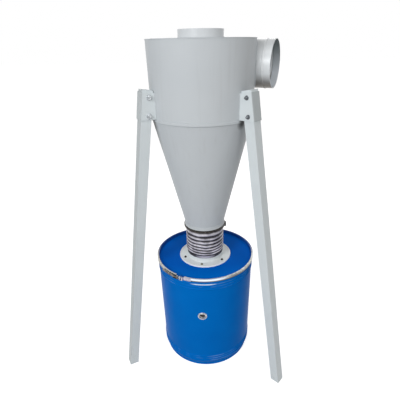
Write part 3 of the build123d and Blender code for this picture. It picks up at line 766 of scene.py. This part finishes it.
def flangeScrews(s):
    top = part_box("lid_flange")[1][2]
    for name, (finish, azimuths) in s["groups"].items():
        screw = joinAll([addWasher(s), hexHead(s, s["headHigh"], s["washerHigh"])])
        places = [standingOn(polar(azimuth, s["radius"], top), (0, 0, 1), s["turn"] * index)
                  for index, azimuth in enumerate(azimuths)]
        dress(copiesAt(screw, places), name, finish, 30)


wormSet = {"azimuths": {"hose_clamp_top": -3.5, "hose_clamp_bottom": 128.0}, "bandOut": 79.3 * mm,
           "cover": (22 * mm, 13 * mm, 14.1 * mm), "coverSunk": 0.3 * mm, "coverEdge": 2.6 * mm,
           "panelRim": 1.2 * mm, "panelSunk": -0.7 * mm, "flats": 7 * mm, "headHigh": 5 * mm, "screwEnd": 14 * mm,
           "screwRise": 6 * mm, "screwTurn": 20, "slot": 1.3 * mm, "slotDeep": 1.6 * mm,
           "tailFrom": 8, "tailTo": 34, "tailSteps": 13, "tailOut": 0.6 * mm, "tailLift": 2.2 * mm,
           "tailWide": 8.5 * mm, "tailThick": 0.8 * mm}


def wormCover(s):                        # pressed housing: rounded top edges, a sunk panel
    height = s["cover"][2]
    cover = addBox(s["cover"], (0, 0, height / 2))
    bevelEdges(cover, lambda edge: all(vert.co.z > height / 2 for vert in edge.verts), s["coverEdge"], 4)
    insetTop(cover, s["panelRim"], s["panelSunk"])
    return cover


def slottedHead(s):                      # hex head with a screwdriver slot cut across it
    head = hexHead(s, s["headHigh"], 0)
    cutBothSides(head, s["slot"] / 2, (0, 1, 0))
    editStart(head)
    selectFaces(head, lambda face: face.normal.z > 0.9 and abs(face.calc_center_median().y) < s["slot"] / 2)
    bpy.ops.mesh.extrude_region_move(TRANSFORM_OT_translate={"value": (0, 0, -s["slotDeep"])})
    objectMode()
    return head


def hoseClampDetails(s):
    covers, heads, tails = [], [], []
    for node, azimuth in s["azimuths"].items():
        low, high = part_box(node)
        level = (low[2] + high[2]) / 2
        side = polar(azimuth + 90, 1, 0)
        covers.append(standingOn(polar(azimuth, s["bandOut"] - s["coverSunk"], level), polar(azimuth, 1, 0)))
        end = polar(azimuth, s["bandOut"] + s["screwRise"], level) + side * s["screwEnd"]
        heads.append(standingOn(end, side, s["screwTurn"]))
        run = []                         # the band's loose end lifts off as it runs on
        for step in range(s["tailSteps"] + 1):
            share = step / s["tailSteps"]
            turn = azimuth - s["tailFrom"] - (s["tailTo"] - s["tailFrom"]) * share
            run.append(polar(turn, s["bandOut"] + s["tailOut"] + s["tailLift"] * share ** 2, level))
        tail = meshAlong("bandTail", run, {"twist_mode": "Z_UP", "extrude": s["tailWide"] / 2})
        addWall(tail, s["tailThick"], 0)
        applyModifiers(tail)
        tails.append(tail)
    pieces = {"clampHousings": copiesAt(wormCover(s), covers), "clampScrews": copiesAt(slottedHead(s), heads),
              "bandTails": joinAll(tails)}
    for name, obj in pieces.items():
        dress(obj, name, "housingSteel", 30)


# turned rings, radius and level in mm
strapSet = {"lip": [(79.6, 669.4), (85.3, 669.4), (86.0, 670.4), (85.8, 671.9), (85.1, 672.6), (79.6, 671.3),
                    (79.6, 669.4)],
            "strap": [(79.6, 659.2), (87.6, 659.2), (88.3, 659.9), (88.3, 661.2), (87.8, 661.9), (87.8, 667.0),
                      (88.3, 667.7), (88.3, 668.7), (87.6, 669.3), (79.6, 669.3), (79.6, 659.2)], "steps": 96}


def collarStrap(s):                      # dark strap drawn tight under the cone's rolled lip, both edges rolled
    for key, name, finish, slotName in (("lip", "coneLip", "bodyPaint", "body_paint"),
                                        ("strap", "collarStrap", "strapSteel", "clamp_steel")):
        dress(spinProfile(s[key], s["steps"], mm), name, finish, 40)


lipSet = {"turn": [(108.5, 509.8), (109.6, 511.2), (111.4, 512.3), (113.2, 512.3), (114.6, 511.3), (115.3, 509.6),
                   (115.3, 507.3), (108.5, 507.3), (108.5, 509.8)], "steps": 96}


def flangeLip(s):                        # the flange's edge is turned up and rounded
    dress(spinProfile(s["turn"], s["steps"], mm), "flangeLip", "highlightLipPaint", 50)


# the dome's outline is in radii of the rivet
rivetSet = {"radius": 3.2 * mm, "lugOut": 218.25 * mm, "level": 513 * mm, "places": (-107.6, -111.6, -126.6),
            "dome": [(0.0, 0.4), (0.45, 0.36), (0.78, 0.24), (0.97, 0.06), (1.0, -0.1), (0.0, -0.1)], "steps": 20,
            "leverOut": 222.6 * mm, "ribFrom": -126.5, "ribTo": -140.5, "ribSteps": 19, "ribRadius": 1.3 * mm,
            "ribEnd": 0.45}


def closureDetails(s):
    rivet = spinProfile(s["dome"], s["steps"], s["radius"])
    places = [standingOn(polar(a, s["lugOut"], s["level"]), polar(a, 1, 0)) for a in s["places"]]
    dress(copiesAt(rivet, places), "lugRivets", "lugZinc", 50)
    # stiffening rib pressed along the lever, its ends run out thin
    run, radii = [], []
    for index in range(s["ribSteps"] + 1):
        turn = s["ribFrom"] + (s["ribTo"] - s["ribFrom"]) * index / s["ribSteps"]
        run.append(polar(turn, s["leverOut"], s["level"]))
        radii.append(s["ribEnd"] if index in (0, s["ribSteps"]) else 1.0)
    rib = meshAlong("leverRib", run, {"bevel_depth": s["ribRadius"], "bevel_resolution": 3, "use_fill_caps": True},
                    radii)
    dress(rib, "leverRib", "closureZinc", 50, body="lever")


# turned outlines, radius and height over the drum's wall in mm
bungSet = {"azimuth": -94.3, "wall": 211.5 * mm, "level": 318.5 * mm, "turn": 24, "steps": 40,
           "rim": [(20, -1.6), (20, 0.8), (19.2, 1.9), (17.4, 2.4), (16.6, 4.0), (15.6, 4.7), (14.6, 4.4), (14.0, 3.4),
                   (13.6, -8.0), (12.8, -8.8), (12.8, -9.6), (15.2, -9.6), (15.2, -1.6), (20, -1.6)],
           "plug": [(0, -11.0), (13.4, -11.0), (13.4, -8.6), (12.4, -7.4), (11.0, -7.0), (9.6, -7.4), (8.8, -9.6),
                    (0, -9.8)],
           "bar": (15.5 * mm, 3.6 * mm, 4.0 * mm), "barLevel": -6.4 * mm, "barEdge": 0.8 * mm}


def drumBung(s):                         # screwed plug sunk in a raised neck, with a bar to turn it
    stand = standingOn(polar(s["azimuth"], s["wall"], s["level"]), polar(s["azimuth"], 1, 0), s["turn"])
    rim = spinProfile(s["rim"], s["steps"], mm)
    plug = spinProfile(s["plug"], s["steps"], mm)
    bar = addBox(s["bar"], (0, 0, s["barLevel"]))
    bevelEdges(bar, lambda edge: True, s["barEdge"], 2)
    plug = joinAll([plug, bar])
    for obj, name, finish, node in ((rim, "bungNeck", "bungZincHighlight", "bung_flange"),
                                    (plug, "bungPlug", "plugShadeSteel", "bung_plug")):
        obj.matrix_world = stand
        dress(obj, name, finish, 40, stands=[node])


beadSet = {"ripple": 3.2 * mm, "swell": 0.22, "rough": 0.7 * mm, "grain": 5 * mm}
beadStep = beadSet["ripple"] / 2


def weldBead(name, points, radius, finish, closed=False, s=beadSet):
    # a run of filler along points, its width rippling as each pool froze
    radii = [1 + s["swell"] * (-1 if index % 2 else 1) for index in range(len(points))]
    bead = meshAlong(name, points, {"bevel_depth": radius, "bevel_resolution": 2, "use_fill_caps": not closed},
                     radii, closed)
    addLumps(bead, name, s["grain"], s["rough"])
    applyModifiers(bead)
    dress(bead, name, finish, 60)


def risingRun(node, margins, placeAt):   # points up a seam, from margins[0] over the node's foot
    low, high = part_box(node)
    count = int((high[2] - low[2] - sum(margins)) / beadStep)
    return [placeAt(low[2] + margins[0] + index * beadStep) for index in range(count)]


def evenCount(radius):                   # an even number of steps round a ring, so that ripples meet
    return int(2 * pi * radius / beadStep) // 2 * 2


def ringPoints(radius, level):
    count = evenCount(radius)
    return [polar(360 * index / count, radius, level) for index in range(count)]


weldSet = {"pipe": 76.5 * mm, "barrel": 184.5 * mm, "inletTurn": -23.0, "inletOffset": 106.5 * mm,
           "inletLevel": 1274.5 * mm, "saddleRound": 77.5 * mm, "saddleOut": 0.8 * mm, "ringOut": 0.6 * mm,
           "ringUp": 0.4 * mm, "bead": 2.2 * mm, "cheekOut": 22.4 * mm, "wallOut": 0.5 * mm, "cheekShare": 0.8,
           "cheekMargins": (3 * mm, 9 * mm)}


def weldSeams(s):
    along = polar(s["inletTurn"], 1, 0)
    across = Vector((-along.y, along.x, 0))
    pipe, barrel = s["pipe"] + s["saddleOut"], s["barrel"] + s["saddleOut"]
    saddle = []                          # where the inlet's pipe meets the barrel
    count = evenCount(s["saddleRound"])
    for index in range(count):
        turn = 2 * pi * index / count
        offset = s["inletOffset"] + pipe * cos(turn)
        reach = sqrt(max(barrel ** 2 - offset ** 2, 0))
        saddle.append(along * reach + across * offset + Vector((0, 0, s["inletLevel"] + pipe * sin(turn))))
    weldBead("inletWeld", saddle, s["bead"], "bodyPaint", True)
    for name, node, finish, slotName in (("outletWeld", "roof_plate", "bodyPaint", "body_paint"),
                                         ("lidSpigotWeld", "lid_flange", "litFlangePaint", "flange_paint")):
        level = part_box(node)[1][2] + s["ringUp"]
        weldBead(name, ringPoints(s["pipe"] + s["ringOut"], level), s["bead"], finish, True)
    reach = sqrt((s["barrel"] + s["wallOut"]) ** 2 - s["cheekOut"] ** 2)
    for name, azimuth in boltSet["legs"].items():
        for mark, sign in (("A", 1), ("B", -1)):
            side = polar(azimuth - 90, sign * s["cheekOut"], 0)
            run = risingRun("leg_bracket_" + name, s["cheekMargins"],
                            lambda level: polar(azimuth, reach, level) + side)
            weldBead("cheekWeld_" + name + mark, run, s["bead"] * s["cheekShare"], "bodyPaint")


# azimuth of each seam, and what it leaves free at the foot and at the top
seamSet = {"barrel": {"azimuth": 135.0, "radius": 184.9 * mm, "margins": (14 * mm, 10 * mm)},
           "cone": {"azimuth": 140.0, "foot": 83.9 * mm, "margins": (2 * mm, 6 * mm)},
           "drum": {"azimuth": 96.0, "radius": 211.5 * mm, "margins": (72 * mm, 78 * mm)},
           "bead": 1.2 * mm, "drumShare": 0.8}


def lapSeams(s):                         # sheet closed by a run of weld down the back
    barrel, cone, drum = s["barrel"], s["cone"], s["drum"]
    low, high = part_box("cone_wall")

    def onCone(level):
        share = (level - low[2]) / (high[2] - low[2])
        return polar(cone["azimuth"], cone["foot"] + (barrel["radius"] - cone["foot"]) * share, level)

    run = risingRun("barrel_wall", barrel["margins"],
                    lambda level: polar(barrel["azimuth"], barrel["radius"], level))
    weldBead("barrelSeam", run, s["bead"], "bodyPaint")
    weldBead("coneSeam", risingRun("cone_wall", cone["margins"], onCone), s["bead"], "bodyPaint")
    run = risingRun("drum_shell", drum["margins"], lambda level: polar(drum["azimuth"], drum["radius"], level))
    weldBead("drumSeam", run, s["bead"] * s["drumShare"], "drumEnamel")


ribbedHose(hoseSet)
hoseClampDetails(wormSet)
collarStrap(strapSet)
flangeLip(lipSet)
print("hose and clamps")
bracketBolts(boltSet)
bracketWraps(wrapSet)
flangeScrews(screwSet)
print("bolts and screws")
closureDetails(rivetSet)
drumBung(bungSet)
print("closure and bung")
weldSeams(weldSet)
lapSeams(seamSet)
print("welds and seams")

bpy.context.scene.view_settings.view_transform = "Standard"
addCamera(cameraSet)
addLight(lightSet)
addFloor(lightSet)
print("camera, light and floor")
